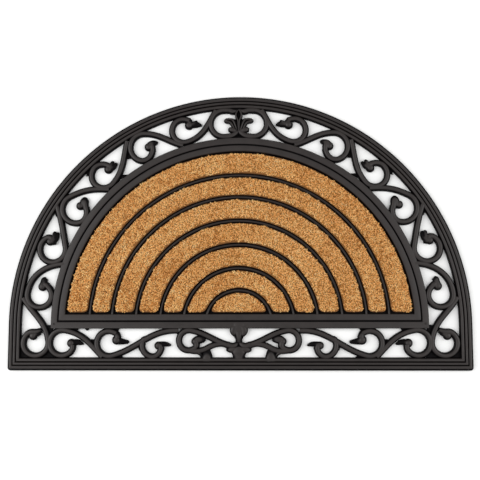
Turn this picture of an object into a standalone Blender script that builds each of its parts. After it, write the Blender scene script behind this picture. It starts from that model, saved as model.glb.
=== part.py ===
"""Half-round doormat: one rubber moulding with openwork scrolls, and seven fields of coir pile.

Sizes are in millimetres, turned to metres by place(). Plan positions are measured from the
middle of the straight edge: x to the right, y towards the top of the arch. The scene's origin
is on the floor under the middle of the mat, so place() moves y back by half the depth.
"""

import math
from collections import namedtuple

import bmesh
import bpy
from mathutils import Vector

MM = 0.001

# Driving sizes of the mat
WIDTH = 750.0
DEPTH = 450.0
ARCH_RADIUS = WIDTH / 2
ARCH_Y = DEPTH - ARCH_RADIUS
CLEARANCE = 0.3
SAME_ANGLE = math.radians(0.5)

# Outer rim: three rounded ribs with two grooves between them, inset and height of each point
RIM_STEPS = 34
RIM_PROFILE = (
    (0.0, 0.0), (0.0, 5.0), (2.2, 8.6), (5.4, 8.6), (7.6, 5.8), (9.2, 8.6),
    (11.8, 8.6), (13.4, 5.8), (15.0, 8.6), (18.6, 8.6), (20.8, 5.0), (21.0, 0.0),
)

# Inner frame: two flat bands, the inner one a step higher, with a groove between them
FRAME_RADIUS = 305.5
FRAME_Y = 68.5
FRAME_WIDTH = 24.4
FRAME_STEPS = 30
CORNER_RISE = 2.0
FRAME_PROFILE = (
    (0.0, 0.0), (0.0, 7.6), (10.8, 8.0), (11.6, 6.0), (13.0, 6.0), (13.6, 9.2),
    (FRAME_WIDTH - 0.6, 9.2), (FRAME_WIDTH, 0.0),
)

# Coir side of the moulding: a backing tray with raised ridges on circles about the arch centre
TRAY_THICKNESS = 3.0
TRAY_LAP = 3.0
RIDGE_RADII = (243.9, 207.2, 167.3, 127.6, 89.9, 54.7)
RIDGE_FOOT = 2.6
RIDGE_CREST = 1.7
RIDGE_HEIGHT = 9.6
RIDGE_STEP = 28.0

# Coir pile
COIR_HEIGHT = 14.5
COIR_SHOULDER = 3.0
COIR_CORNER = 8.0
COIR_CORNER_STEPS = 3

# Openwork bars: half widths and heights of half a bar's section, from its foot to its crown
BAR_HEIGHT = 8.0
BAR_SECTION = ((4.9, 0.0), (4.5, 4.6), (2.1, BAR_HEIGHT))
RING_STEP_DEG = 24.0
STEM_STEP = 11.0
STEM_REACH = 0.40
EASE_IN_DEG = 90.0
BUD_SIDES = 9
# A bud's head: share of its radius and height, from its foot to its crown
BUD_SECTION = ((1.0, 0.0), (0.96, 4.2), (0.55, 7.6))

# A leaf's upper edges lie a little inside its foot, at a share of its middle height
LEAF_HEIGHT = 7.4
LEAF_EDGE = 0.62
LEAF_DRAFT = 0.94

WEB_HEIGHT = 4.0

# Parts of the moulding start below the floor line, each a little lower than the one before it,
# and one level cut makes the flat underside. Crowns differ by a hair so that none lie flush
SINK = 2.0
SINK_STEP = 0.05
CROWN_STEP = 0.02
CROWN_RIGHT = 0.01
WELD = 0.03
FLAT_DEG = 0.5

# Each scroll bar is a ring about (ring_x, ring_y) that starts at an angle, sweeps round and
# runs out along a smooth stem to its end, which it meets at a heading
Scroll = namedtuple(
    "Scroll", "name ring_x ring_y radius start sweep start_radius end_x end_y heading")
SCROLLS = (
    Scroll("crown_c", -24.5, 405.0, 22.2, 80, 195, 22.2, -3, 388, 20),
    Scroll("arch_a", -90.8, 393.6, 20.0, 62, 236, 18.5, -38, 427, 57),
    Scroll("arch_b", -157.0, 365.8, 23.0, -15, -255, 17.5, -92, 368.5, -15),
    Scroll("arch_c", -223.4, 318.6, 20.4, 50, 272, 18.0, -185, 376, 76),
    Scroll("arch_d", -268.0, 263.0, 23.4, 12, -255, 16.5, -214, 295.5, -4),
    Scroll("arch_e", -305.5, 196.5, 21.3, 112, 258, 21.5, -300, 268, 108),
    Scroll("side", -325.5, 121.8, 20.4, 50, -238, 19.0, -286, 172.5, 3),
    Scroll("corner", -330.0, 44.2, 20.6, 122, 246, 20.0, -352, 117, 122),
    Scroll("base_a", -286.5, 44.3, 20.8, -42, -254, 20.0, -215, 23.5, -40),
    Scroll("base_b", -210.0, 43.4, 20.5, 55, 245, 19.5, -100, 64, 3),
    Scroll("base_c", -138.5, 40.2, 18.2, -10, -212, 16.4, -147, 55, 40),
    Scroll("base_d", -80.5, 48.2, 16.4, -45, -238, 15.4, 3, 40, 0),
)

# The bud in the mouth of each ring: a round head and a leaf that points out of it
Bud = namedtuple("Bud", "name head_x head_y head_radius tip_x tip_y leaf_width")
BUDS = (
    Bud("arch_a", -82.0, 403.5, 8.0, -60, 402.5, 11),
    Bud("arch_b", -148.0, 366.5, 7.5, -131, 375, 11),
    Bud("arch_c", -214.0, 330.0, 8.5, -200, 338, 14),
    Bud("arch_d", -261.5, 268.0, 8.0, -250, 283, 14),
    Bud("arch_e", -308.0, 210.5, 8.5, -298, 227, 15),
    Bud("side", -321.0, 136.5, 8.0, -318, 152, 13),
    Bud("corner", -334.0, 56.0, 8.0, -319, 67, 9),
    Bud("base_a", -271.0, 43.5, 7.8, -250, 43, 11),
    Bud("base_b", -198.0, 49.5, 8.2, -175, 46, 11),
    Bud("base_c", -129.0, 39.5, 7.5, -107, 41, 9),
    Bud("base_d", -68.0, 48.0, 7.5, -51, 52, 12),
)

# Outlines of a leaf from base to tip: share of the length and share of the full width
LEAF_SHAPES = {
    "leaf": ((0.0, 0.9), (0.35, 1.0), (0.75, 0.8), (1.0, 0.15)),
    "petal": ((0.0, 0.5), (0.3, 0.9), (0.6, 1.0), (0.85, 0.8), (1.0, 0.35)),
    "post": ((0.0, 1.0), (0.5, 1.0), (0.75, 0.9), (1.0, 0.5)),
}
Leaf = namedtuple("Leaf", "name base_x base_y tip_x tip_y width height shape")
CENTRE_LEAVES = (
    Leaf("crown_bulb", 0, 386, 0, 431, 15, 8.4, "petal"),
    Leaf("crown_foot", 0, 376, 0, 393, 14, 6.8, "post"),
    Leaf("foot_knob", 0, 49, 0, 73, 28, 8.2, "petal"),
    Leaf("foot_waist", 0, 18, 0, 60, 12, 7.4, "post"),
    Leaf("foot_base", 0, 16, 0, 32, 20, 6.6, "post"),
)
SIDE_LEAVES = (
    Leaf("crown_petal", -1, 402, -24, 409, 10, 7.8, "petal"),
    Leaf("crown_leaf", -1, 396, -19, 394, 11, 7.2, "petal"),
    Leaf("foot_leaf", -1, 38, -24, 34, 10, 7.0, "petal"),
    Leaf("foot_post", -51, 16, -55.6, 36.4, 18.6, 7.1, "post"),
)

# Short straight bars
Rod = namedtuple("Rod", "name x0 y0 x1 y1")
RODS = (
    Rod("crown_top", -26, 427.0, 3, 427.0),
    Rod("fork_low", -78, 32.4, -54, 35.8),
    Rod("fork_high", -59, 34.8, -31, 44.2),
)

# Low webs that fill the tight corners between bars
Web = namedtuple("Web", "name x0 y0 x1 y1 x2 y2")
WEBS = (
    Web("arch_ab", -121, 380, -104, 386, -100, 364),
    Web("arch_bc", -189, 378, -189, 344, -179, 345),
    Web("arch_c_rim", -250, 336, -255, 315, -243, 318),
    Web("arch_c_frame", -206, 306, -192, 322, -187, 306),
    Web("arch_de", -302, 262, -296, 236, -286, 240),
    Web("arch_e_rim", -334, 215, -324, 219, -334, 193),
    Web("side_rim", -353, 140, -345, 166, -338, 150),
    Web("corner_low", -358, 16, -334, 16, -358, 40),
    Web("base_low", -324, 16, -296, 16, -309, 36),
    Web("base_high", -322, 74, -298, 74, -308, 50),
    Web("base_a_frame", -284, 71, -256, 71, -264, 56),
    Web("base_ab", -245, 56, -232, 56, -236, 34),
    Web("base_b_frame", -210, 71, -189, 71, -196, 58),
    Web("base_b_rim", -206, 16, -182, 16, -192, 28),
    Web("base_bc", -168, 46, -156, 46, -161, 30),
)


def place(x, y, z):
    """A plan position and height in millimetres as a point in metres about the mat's middle."""
    return Vector((x, y - DEPTH / 2, z)) * MM


def remove_all_objects():
    for old in list(bpy.data.objects):
        bpy.data.objects.remove(old, do_unlink=True)


def make_material(name, colour, roughness):
    material = bpy.data.materials.new(name)
    material.use_nodes = True
    shader = material.node_tree.nodes["Principled BSDF"]
    shader.inputs["Base Color"].default_value = (*colour, 1.0)
    shader.inputs["Roughness"].default_value = roughness
    shader.inputs["Metallic"].default_value = 0.0
    return material


def black_rubber():
    return make_material("black_rubber", (0.040, 0.038, 0.040), 0.58)


def coir_pile():
    return make_material("coir_pile", (0.42, 0.24, 0.085), 0.95)


def make_object(name, bm, collection):
    bmesh.ops.recalc_face_normals(bm, faces=bm.faces)
    mesh = bpy.data.meshes.new(name)
    bm.to_mesh(mesh)
    bm.free()
    made = bpy.data.objects.new(name, mesh)
    collection.objects.link(made)
    return made


def skin(bm, rows, closed_rows):
    """Quads over rows of points. Each row is a closed loop; the rows close too, or get end faces."""
    loops = [[bm.verts.new(point) for point in row] for row in rows]
    pairs = list(zip(loops, loops[1:]))
    if closed_rows:
        pairs.append((loops[-1], loops[0]))
    for low, high in pairs:
        for i in range(len(low)):
            j = (i + 1) % len(low)
            bm.faces.new((low[i], low[j], high[j], high[i]))
    if not closed_rows:
        bm.faces.new(loops[0])
        bm.faces.new(loops[-1])


def arc_at(radius, angle, steps):
    """The point at an angle on a half circle drawn as `steps` straight chords."""
    half_step = math.pi / steps / 2
    off_middle = angle % (2 * half_step) - half_step
    reach = radius * math.cos(half_step) / math.cos(off_middle)
    return reach * math.cos(angle), ARCH_Y + reach * math.sin(angle)


def arc_points(radius, first, steps):
    """A chorded arc over the arch centre, from `first` on the right to its mirror on the left."""
    angles = [math.pi * i / steps for i in range(1, steps)]
    inner = [angle for angle in angles if first + SAME_ANGLE < angle < math.pi - first - SAME_ANGLE]
    return [arc_at(radius, angle, steps) for angle in [first, *inner, math.pi - first]]


def arc_start(radius, y):
    return math.asin((y - ARCH_Y) / radius)


def arch_loop(radius, base_y, steps):
    """Outline of the half-round: a straight base, short upright sides and the arch over them."""
    corner = radius
    if base_y > ARCH_Y:
        corner = math.sqrt(radius ** 2 - (base_y - ARCH_Y) ** 2)
    first = arc_start(radius, max(ARCH_Y, base_y + CORNER_RISE))
    return [(corner, base_y), *arc_points(radius, first, steps), (-corner, base_y)]


def arch_band(name, profile, radius, base_y, steps, sink, collection):
    """A moulded band that follows the half-round, from its section's insets and heights."""
    rows = []
    for inset, height in profile:
        level = height if height > 0 else -sink
        rows.append([place(x, y, level) for x, y in arch_loop(radius - inset, base_y + inset, steps)])
    bm = bmesh.new()
    skin(bm, rows, closed_rows=True)
    return make_object(name, bm, collection)


def arch_plate(name, radius, base_y, steps, top, sink, collection):
    loop = arch_loop(radius, base_y, steps)
    bm = bmesh.new()
    skin(bm, [[place(x, y, level) for x, y in loop] for level in (-sink, top)], closed_rows=False)
    return make_object(name, bm, collection)


def swept_bar(name, path, section, sink, collection, extra=0.0):
    """A bar along a plan path, its section given as half widths and heights from foot to crown."""
    rows = []
    for i, (x, y) in enumerate(path):
        before = path[max(i - 1, 0)]
        after = path[min(i + 1, len(path) - 1)]
        along = Vector((after[0] - before[0], after[1] - before[1])).normalized()
        side = Vector((-along.y, along.x))
        half = [(w, height + extra if height > 0 else -sink) for w, height in section]
        row = [place(x + side.x * w, y + side.y * w, level) for w, level in half]
        row += [place(x - side.x * w, y - side.y * w, level) for w, level in reversed(half)]
        rows.append(row)
    bm = bmesh.new()
    skin(bm, rows, closed_rows=False)
    return make_object(name, bm, collection)


def ease(share):
    share = min(max(share, 0.0), 1.0)
    return share * share * (3 - 2 * share)


def bezier(p0, p1, p2, p3, t):
    u = 1 - t
    weights = (u ** 3, 3 * t * u * u, 3 * t * t * u, t ** 3)
    return tuple(sum(w * p[axis] for w, p in zip(weights, (p0, p1, p2, p3))) for axis in (0, 1))


def scroll_path(scroll):
    """Plan points of a scroll: round its ring, then along its stem."""
    steps = max(4, round(abs(scroll.sweep) / RING_STEP_DEG))
    path = []
    for i in range(steps + 1):
        turned = scroll.sweep * i / steps
        growth = ease(abs(turned) / EASE_IN_DEG)
        radius = scroll.start_radius + (scroll.radius - scroll.start_radius) * growth
        angle = math.radians(scroll.start + turned)
        path.append((scroll.ring_x + radius * math.cos(angle), scroll.ring_y + radius * math.sin(angle)))
    way = 1 if scroll.sweep > 0 else -1
    leave = math.radians(scroll.start + scroll.sweep + 90 * way)
    arrive = math.radians(scroll.heading)
    first, last = path[-1], (scroll.end_x, scroll.end_y)
    reach = STEM_REACH * math.dist(first, last)
    pull = (first[0] + reach * math.cos(leave), first[1] + reach * math.sin(leave))
    push = (last[0] - reach * math.cos(arrive), last[1] - reach * math.sin(arrive))
    steps = max(1, round(math.dist(first, last) / STEM_STEP))
    path += [bezier(first, pull, push, last, i / steps) for i in range(1, steps + 1)]
    return path


def leaf_solid(name, leaf, sink, collection, side):
    """A leaf from base to tip, with a raised rib along its middle."""
    start = Vector((leaf.base_x * side, leaf.base_y))
    along = Vector((leaf.tip_x * side, leaf.tip_y)) - start
    across = Vector((-along.y, along.x)).normalized()
    rows = []
    for share, breadth in LEAF_SHAPES[leaf.shape]:
        at = start + along * share
        half = across * leaf.width / 2 * breadth
        edge = leaf.height * LEAF_EDGE
        rows.append([
            place(at.x + half.x, at.y + half.y, -sink),
            place(at.x + half.x * LEAF_DRAFT, at.y + half.y * LEAF_DRAFT, edge),
            place(at.x, at.y, leaf.height),
            place(at.x - half.x * LEAF_DRAFT, at.y - half.y * LEAF_DRAFT, edge),
            place(at.x - half.x, at.y - half.y, -sink),
        ])
    bm = bmesh.new()
    skin(bm, rows, closed_rows=False)
    return make_object(name, bm, collection)


def bud_head(name, bud, sink, collection, side):
    """The round head of a bud, a low domed button."""
    rows = []
    for share, height in BUD_SECTION:
        level = height if height > 0 else -sink
        radius = bud.head_radius * share
        angles = [2 * math.pi * i / BUD_SIDES for i in range(BUD_SIDES)]
        rows.append([
            place(bud.head_x * side + radius * math.cos(a), bud.head_y + radius * math.sin(a), level)
            for a in angles])
    bm = bmesh.new()
    skin(bm, rows, closed_rows=False)
    return make_object(name, bm, collection)


def web_plate(name, web, sink, collection, side):
    corners = ((web.x0, web.y0), (web.x1, web.y1), (web.x2, web.y2))
    rows = [[place(x * side, y, level) for x, y in corners] for level in (-sink, WEB_HEIGHT)]
    bm = bmesh.new()
    skin(bm, rows, closed_rows=False)
    return make_object(name, bm, collection)


def ridge_steps(radius):
    return max(12, round(math.pi * radius / RIDGE_STEP))


def ridge_bar(name, radius, sink, collection):
    """A raised ridge between two coir fields, its feet let into the frame's straight bar."""
    foot_y = FRAME_Y + FRAME_WIDTH - TRAY_LAP
    path = arc_points(radius, arc_start(radius, foot_y), ridge_steps(radius))
    section = ((RIDGE_FOOT, 0.0), (RIDGE_CREST, RIDGE_HEIGHT))
    return swept_bar(name, path, section, sink, collection)


def lower_sinks():
    """How far below the floor each part of the moulding starts, a little more every time."""
    sink = SINK
    while True:
        sink += SINK_STEP
        yield sink


def build_side(side, hand, sinks, collection):
    """The scrollwork of one half: side is 1 on the left, where the tables lie, and -1 on the right."""
    lift = 0.0 if side == 1 else CROWN_RIGHT
    for number, scroll in enumerate(SCROLLS):
        path = [(x * side, y) for x, y in scroll_path(scroll)]
        extra = lift + CROWN_STEP * number
        swept_bar(f"scroll_{scroll.name}_{hand}", path, BAR_SECTION, next(sinks), collection, extra)
    for number, rod in enumerate(RODS, len(SCROLLS)):
        path = [(rod.x0 * side, rod.y0), (rod.x1 * side, rod.y1)]
        extra = lift + CROWN_STEP * number
        swept_bar(f"rod_{rod.name}_{hand}", path, BAR_SECTION, next(sinks), collection, extra)
    for bud in BUDS:
        bud_head(f"head_{bud.name}_{hand}", bud, next(sinks), collection, side)
        leaf = Leaf(
            bud.name, bud.head_x, bud.head_y, bud.tip_x, bud.tip_y, bud.leaf_width, LEAF_HEIGHT, "leaf")
        leaf_solid(f"bud_{bud.name}_{hand}", leaf, next(sinks), collection, side)
    for leaf in SIDE_LEAVES:
        leaf_solid(f"leaf_{leaf.name}_{hand}", leaf, next(sinks), collection, side)
    for web in WEBS:
        web_plate(f"web_{web.name}_{hand}", web, next(sinks), collection, side)


def build_mouldings(collection):
    """Every part of the rubber moulding but the rim, each a closed body that laps its neighbours."""
    sinks = lower_sinks()
    arch_band("frame", FRAME_PROFILE, FRAME_RADIUS, FRAME_Y, FRAME_STEPS, next(sinks), collection)
    lap = FRAME_WIDTH - TRAY_LAP
    tray_radius, tray_y = FRAME_RADIUS - lap, FRAME_Y + lap
    arch_plate("tray", tray_radius, tray_y, FRAME_STEPS, TRAY_THICKNESS, next(sinks), collection)
    for number, radius in enumerate(RIDGE_RADII, 1):
        ridge_bar(f"ridge_{number}", radius, next(sinks), collection)
    build_side(1, "left", sinks, collection)
    build_side(-1, "right", sinks, collection)
    for leaf in CENTRE_LEAVES:
        leaf_solid(f"leaf_{leaf.name}", leaf, next(sinks), collection, 1)
    return next(sinks)


def level_cut(depth, collection):
    """A block that takes away everything below the floor line."""
    margin = 20.0
    corners = [(-1, -1), (1, -1), (1, 1), (-1, 1)]
    reach_x, reach_y = WIDTH / 2 + margin, DEPTH / 2 + margin
    bm = bmesh.new()
    rows = [
        [place(x * reach_x, DEPTH / 2 + y * reach_y, level) for x, y in corners]
        for level in (-depth - margin, 0.0)
    ]
    skin(bm, rows, closed_rows=False)
    return make_object("level_cut", bm, collection)


def join_with(target, collection):
    modifier = target.modifiers.new("join_mouldings", "BOOLEAN")
    modifier.operation = "UNION"
    modifier.solver = "EXACT"
    modifier.operand_type = "COLLECTION"
    modifier.collection = collection


def cut_with(target, cutter):
    """The block passes through every bar at once, which the exact solver can't part."""
    modifier = target.modifiers.new("flat_underside", "BOOLEAN")
    modifier.operation = "DIFFERENCE"
    modifier.solver = "MANIFOLD"
    modifier.object = cutter


def settle_modifiers(target):
    """Replace the object's mesh with its evaluated one, cleared of slivers."""
    graph = bpy.context.evaluated_depsgraph_get()
    settled = bpy.data.meshes.new_from_object(target.evaluated_get(graph), depsgraph=graph)
    target.modifiers.clear()
    bm = bmesh.new()
    bm.from_mesh(settled)
    bmesh.ops.remove_doubles(bm, verts=bm.verts, dist=WELD * MM)
    bmesh.ops.dissolve_limit(
        bm, angle_limit=math.radians(FLAT_DEG), verts=bm.verts, edges=bm.edges, delimit=set())
    bmesh.ops.triangulate(bm, faces=bm.faces)
    bm.to_mesh(settled)
    bm.free()
    target.data = settled


def build_rubber_mat(material):
    scene = bpy.context.scene.collection
    mouldings = bpy.data.collections.new("mouldings")
    scene.children.link(mouldings)
    mat = arch_band("rubber_mat", RIM_PROFILE, ARCH_RADIUS, 0.0, RIM_STEPS, SINK, scene)
    depth = build_mouldings(mouldings)
    cut = level_cut(depth, scene)
    join_with(mat, mouldings)
    cut_with(mat, cut)
    settle_modifiers(mat)
    for helper in list(mouldings.objects) + [cut]:
        bpy.data.objects.remove(helper, do_unlink=True)
    bpy.data.collections.remove(mouldings)
    mat.data.materials.append(material)
    mat.data.shade_smooth()
    mat.data.set_sharp_from_angle(angle=math.radians(30))
    return mat


def rounded_corner(corner, before, after):
    """Points round a corner, from the side towards `before` to the side towards `after`."""
    start = Vector(corner) + (Vector(before) - Vector(corner)).normalized() * COIR_CORNER
    end = Vector(corner) + (Vector(after) - Vector(corner)).normalized() * COIR_CORNER
    points = []
    for i in range(COIR_CORNER_STEPS + 1):
        t = i / COIR_CORNER_STEPS
        bend = start * (1 - t) ** 2 + Vector(corner) * 2 * t * (1 - t) + end * t ** 2
        points.append((bend.x, bend.y))
    return points


def coir_outline(outer, outer_steps, inner, inner_steps):
    """Plan outline of a coir field, cut level just above the frame's straight bar."""
    base_y = FRAME_Y + FRAME_WIDTH + CLEARANCE
    corner_y = base_y + COIR_CORNER
    outer_x = math.sqrt(outer ** 2 - (base_y - ARCH_Y) ** 2)
    arc = arc_points(outer, arc_start(outer, corner_y), outer_steps)
    if inner is None:
        left = rounded_corner((-outer_x, base_y), arc[-1], (0, base_y))
        right = [(-x, y) for x, y in reversed(left)]
        return arc[1:-1] + left + right
    inner_x = math.sqrt(inner ** 2 - (base_y - ARCH_Y) ** 2)
    back = list(reversed(arc_points(inner, arc_start(inner, corner_y), inner_steps)))
    middle = ((-outer_x - inner_x) / 2, base_y)
    left = rounded_corner((-outer_x, base_y), arc[-1], middle)
    left += rounded_corner((-inner_x, base_y), middle, back[0])
    right = [(-x, y) for x, y in reversed(left)]
    return arc[1:-1] + left + back[1:-1] + right


def build_coir_field(name, outline_points, material):
    """A slab of pile on the tray, with its upper edges rounded off."""
    low = TRAY_THICKNESS + CLEARANCE
    bm = bmesh.new()
    outline = [bm.verts.new(place(x, y, low)) for x, y in outline_points]
    foot = bm.faces.new(outline)
    lifted = bmesh.ops.extrude_face_region(bm, geom=[foot], use_keep_orig=True)
    top_verts = [item for item in lifted["geom"] if isinstance(item, bmesh.types.BMVert)]
    bmesh.ops.translate(bm, verts=top_verts, vec=(0, 0, (COIR_HEIGHT - low) * MM))
    top_edges = [edge for edge in bm.edges if all(vert in top_verts for vert in edge.verts)]
    bmesh.ops.bevel(
        bm, geom=top_edges, offset=COIR_SHOULDER * MM, offset_type="OFFSET", segments=1,
        profile=0.5, affect="EDGES", material=-1)
    bmesh.ops.triangulate(bm, faces=bm.faces)
    field = make_object(name, bm, bpy.context.scene.collection)
    field.data.materials.append(material)
    field.data.shade_smooth()
    field.data.set_sharp_from_angle(angle=math.radians(60))
    return field


def build_coir_fields(material):
    """Six arched bands between the ridges, and the half-disc inside the last ridge."""
    margin = RIDGE_FOOT + CLEARANCE
    outer, outer_steps = FRAME_RADIUS - FRAME_WIDTH - CLEARANCE, FRAME_STEPS
    for number, ridge in enumerate(RIDGE_RADII, 1):
        outline = coir_outline(outer, outer_steps, ridge + margin, ridge_steps(ridge))
        build_coir_field(f"coir_band_{number}", outline, material)
        outer, outer_steps = ridge - margin, ridge_steps(ridge)
    build_coir_field("coir_centre", coir_outline(outer, outer_steps, None, 0), material)


def main():
    remove_all_objects()
    build_rubber_mat(black_rubber())
    build_coir_fields(coir_pile())


main()
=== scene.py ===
import math
import bmesh
import bpy
import numpy as np
from collections import namedtuple
from mathutils import Matrix, Vector


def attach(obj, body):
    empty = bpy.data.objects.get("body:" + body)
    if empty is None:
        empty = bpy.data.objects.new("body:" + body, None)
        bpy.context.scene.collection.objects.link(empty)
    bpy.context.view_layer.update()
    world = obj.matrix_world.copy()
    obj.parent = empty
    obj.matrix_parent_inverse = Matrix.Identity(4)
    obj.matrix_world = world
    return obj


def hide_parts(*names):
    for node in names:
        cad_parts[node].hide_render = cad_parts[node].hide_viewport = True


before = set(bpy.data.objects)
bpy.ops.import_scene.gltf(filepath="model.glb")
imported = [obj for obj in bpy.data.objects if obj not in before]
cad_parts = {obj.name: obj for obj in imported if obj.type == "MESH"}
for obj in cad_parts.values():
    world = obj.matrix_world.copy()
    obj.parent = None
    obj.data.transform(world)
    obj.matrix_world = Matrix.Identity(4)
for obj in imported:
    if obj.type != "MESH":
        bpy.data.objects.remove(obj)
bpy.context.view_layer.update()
print("frame loaded:", len(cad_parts), "nodes")

# Plan sizes are in millimetres from the middle of the straight edge, y towards the top of the arch
mm = 0.001
matWidth = 750.0
matDepth = 450.0
archRadius = matWidth / 2
archY = 75.0  # height of the half circle's centre over the straight edge


def at(x, y, z):
    return Vector((x, y - matDepth / 2, z)) * mm


# materials


def toLinear(hexColour):
    channels = [int(hexColour[i:i + 2], 16) / 255 for i in (1, 3, 5)]
    return (*[c / 12.92 if c <= 0.04045 else ((c + 0.055) / 1.055) ** 2.4 for c in channels], 1.0)


def addNode(tree, kind, values=None, links=None, **settings):
    node = tree.nodes.new(kind)
    for name, value in settings.items():
        setattr(node, name, value)
    for socket, value in (values or {}).items():
        node.inputs[socket].default_value = value
    for socket, source in (links or {}).items():
        tree.links.new(source, node.inputs[socket])
    return node


def newMaterial(name):
    material = bpy.data.materials.new(name)
    material.use_nodes = True
    return material, material.node_tree, material.node_tree.nodes["Principled BSDF"]


def colourStops(ramp, stops):
    elements = ramp.color_ramp.elements
    while len(elements) > 1:
        elements.remove(elements[-1])
    elements[0].position, elements[0].color = stops[0][0], toLinear(stops[0][1])
    for position, colour in stops[1:]:
        elements.new(position).color = toLinear(colour)


rubberFinish = {
    "foot": "#0a0809",  # painted shade: the flanks and hollows are painted this near black
    "dark": "#1f1b1a",
    "light": "#2d2725",
    "shadeBelow": 6.8,  # mm over the floor, below this the rubber is in full painted shade
    "highlightAbove": 7.9,  # mm, from here up the crowns are painted lighter and glossier, a painted highlight
    "roughness": (0.42, 0.56),
    "ior": 1.52,
    "mottle": 14.0,  # mm, cloudy patches left by the mould release
    "grain": 0.6,  # mm, pores of the pressed crumb, drawn a little coarse so that they show
    "grainDepth": 0.05,  # mm
    "grainStrength": 0.6,
    "paintedSheen": (0.05, 0.345),  # specular level in the painted shade and on the painted highlight of the crowns
    "smoothAngle": 38.0,  # degrees, sharper edges than this stay crisp
}


def mouldedRubber():
    # Recycled rubber, hot pressed in a steel mould: near black and satin, a little patchy where the release
    # wax dried, and faintly pored. By height, painted shade darkens the flanks and hollows and a painted
    # highlight lightens the crowns
    material, tree, shader = newMaterial("mouldedRubber")
    place = addNode(tree, "ShaderNodeTexCoord").outputs["Object"]
    cloud = addNode(
        tree, "ShaderNodeTexNoise", {"Scale": 1 / (rubberFinish["mottle"] * mm), "Detail": 4.0,
        "Roughness": 0.6}, {"Vector": place})
    tone = addNode(
        tree, "ShaderNodeMix", {}, {"Factor": cloud.outputs["Fac"]}, data_type="RGBA")
    tone.inputs["A"].default_value = toLinear(rubberFinish["dark"])
    tone.inputs["B"].default_value = toLinear(rubberFinish["light"])
    low, high = rubberFinish["roughness"]
    satin = addNode(
        tree, "ShaderNodeMapRange", {"From Min": 0.3, "From Max": 0.7, "To Min": low, "To Max": high},
        {"Value": cloud.outputs["Fac"]})
    grain = addNode(
        tree, "ShaderNodeTexNoise", {"Scale": 1 / (rubberFinish["grain"] * mm), "Detail": 3.0},
        {"Vector": place})
    bump = addNode(
        tree, "ShaderNodeBump", {"Strength": rubberFinish["grainStrength"],
        "Distance": rubberFinish["grainDepth"] * mm}, {"Height": grain.outputs["Fac"]})
    height = addNode(tree, "ShaderNodeSeparateXYZ", {}, {"Vector": place})
    # painted shade and highlight by height alone: the low rubber is painted near black, the crowns keep the
    # lighter tone
    highlightShare = addNode(
        tree, "ShaderNodeMapRange", {"From Min": rubberFinish["shadeBelow"] * mm,
        "From Max": rubberFinish["highlightAbove"] * mm}, {"Value": height.outputs["Z"]},
        interpolation_type="SMOOTHSTEP")
    shadedTone = addNode(
        tree, "ShaderNodeMix", {}, {"Factor": highlightShare.outputs["Result"]}, data_type="RGBA")
    shadedTone.inputs["A"].default_value = toLinear(rubberFinish["foot"])
    tree.links.new(tone.outputs["Result"], shadedTone.inputs["B"])
    # painted sheen: the gloss rises with height, a painted highlight on the crowns
    shadeGloss, highlightGloss = rubberFinish["paintedSheen"]
    paintedSheen = addNode(
        tree, "ShaderNodeMapRange", {"To Min": shadeGloss, "To Max": highlightGloss}, {"Value": highlightShare.outputs["Result"]})
    tree.links.new(shadedTone.outputs["Result"], shader.inputs["Base Color"])
    tree.links.new(paintedSheen.outputs["Result"], shader.inputs["Specular IOR Level"])
    tree.links.new(satin.outputs["Result"], shader.inputs["Roughness"])
    tree.links.new(bump.outputs["Normal"], shader.inputs["Normal"])
    shader.inputs["IOR"].default_value = rubberFinish["ior"]
    return material


coirFinish = {
    # from the dark husk strands to the sun-bleached ones
    "strands": ((0.0, "#965a24"), (0.2, "#d59146"), (0.42, "#f8bc70"), (0.7, "#ffda95"), (1.0, "#ffeec4")),
    "roughness": 0.88,
    "ior": 1.4,
    "clump": 4.6,  # mm, size of a patch of tufts of one shade
    "clumpShift": 0.16,  # how far along the strand colours a patch moves
    "patch": 38.0,  # mm, slow change of shade along a field
    "patchShift": 0.09,
}
rootsFinish = {
    "felt": ((0.35, "#5e3b1a"), (0.65, "#a06c34")),
    "feltScale": 900.0,  # per metre, tangles about 1.1 mm across
    "feltDepth": 0.4,  # mm
    "feltStrength": 0.8,
    "roughness": 0.95,
    "smoothAngle": 60.0,
}


def coirStrands():
    # Coconut husk fibre, spun loosely and cut level: dry, matt and golden brown, every strand
    # of its own shade, so that the pile looks speckled
    material, tree, shader = newMaterial("coirStrands")
    place = addNode(tree, "ShaderNodeTexCoord").outputs["Object"]
    # strandTone holds each strand's own tone and the painted shade at its root
    strand = addNode(tree, "ShaderNodeAttribute", attribute_name="strandTone").outputs["Fac"]
    clump = addNode(
        tree, "ShaderNodeTexNoise", {"Scale": 1 / (coirFinish["clump"] * mm), "Detail": 2.0},
        {"Vector": place})
    patch = addNode(
        tree, "ShaderNodeTexNoise", {"Scale": 1 / (coirFinish["patch"] * mm), "Detail": 2.0},
        {"Vector": place})
    most = coirFinish["clumpShift"]
    clumpShift = addNode(
        tree, "ShaderNodeMapRange", {"From Min": 0.25, "From Max": 0.75, "To Min": -most, "To Max": most},
        {"Value": clump.outputs["Fac"]})
    most = coirFinish["patchShift"]
    patchShift = addNode(
        tree, "ShaderNodeMapRange", {"From Min": 0.3, "From Max": 0.7, "To Min": -most, "To Max": most},
        {"Value": patch.outputs["Fac"]})
    both = addNode(
        tree, "ShaderNodeMath", {}, {0: clumpShift.outputs["Result"], 1: patchShift.outputs["Result"]},
        operation="ADD")
    shade = addNode(tree, "ShaderNodeMath", {}, {0: strand, 1: both.outputs["Value"]}, operation="ADD")
    ramp = addNode(tree, "ShaderNodeValToRGB", {}, {"Fac": shade.outputs["Value"]})
    colourStops(ramp, coirFinish["strands"])
    tree.links.new(ramp.outputs["Color"], shader.inputs["Base Color"])
    shader.inputs["Roughness"].default_value = coirFinish["roughness"]
    shader.inputs["IOR"].default_value = coirFinish["ior"]
    return material


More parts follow.
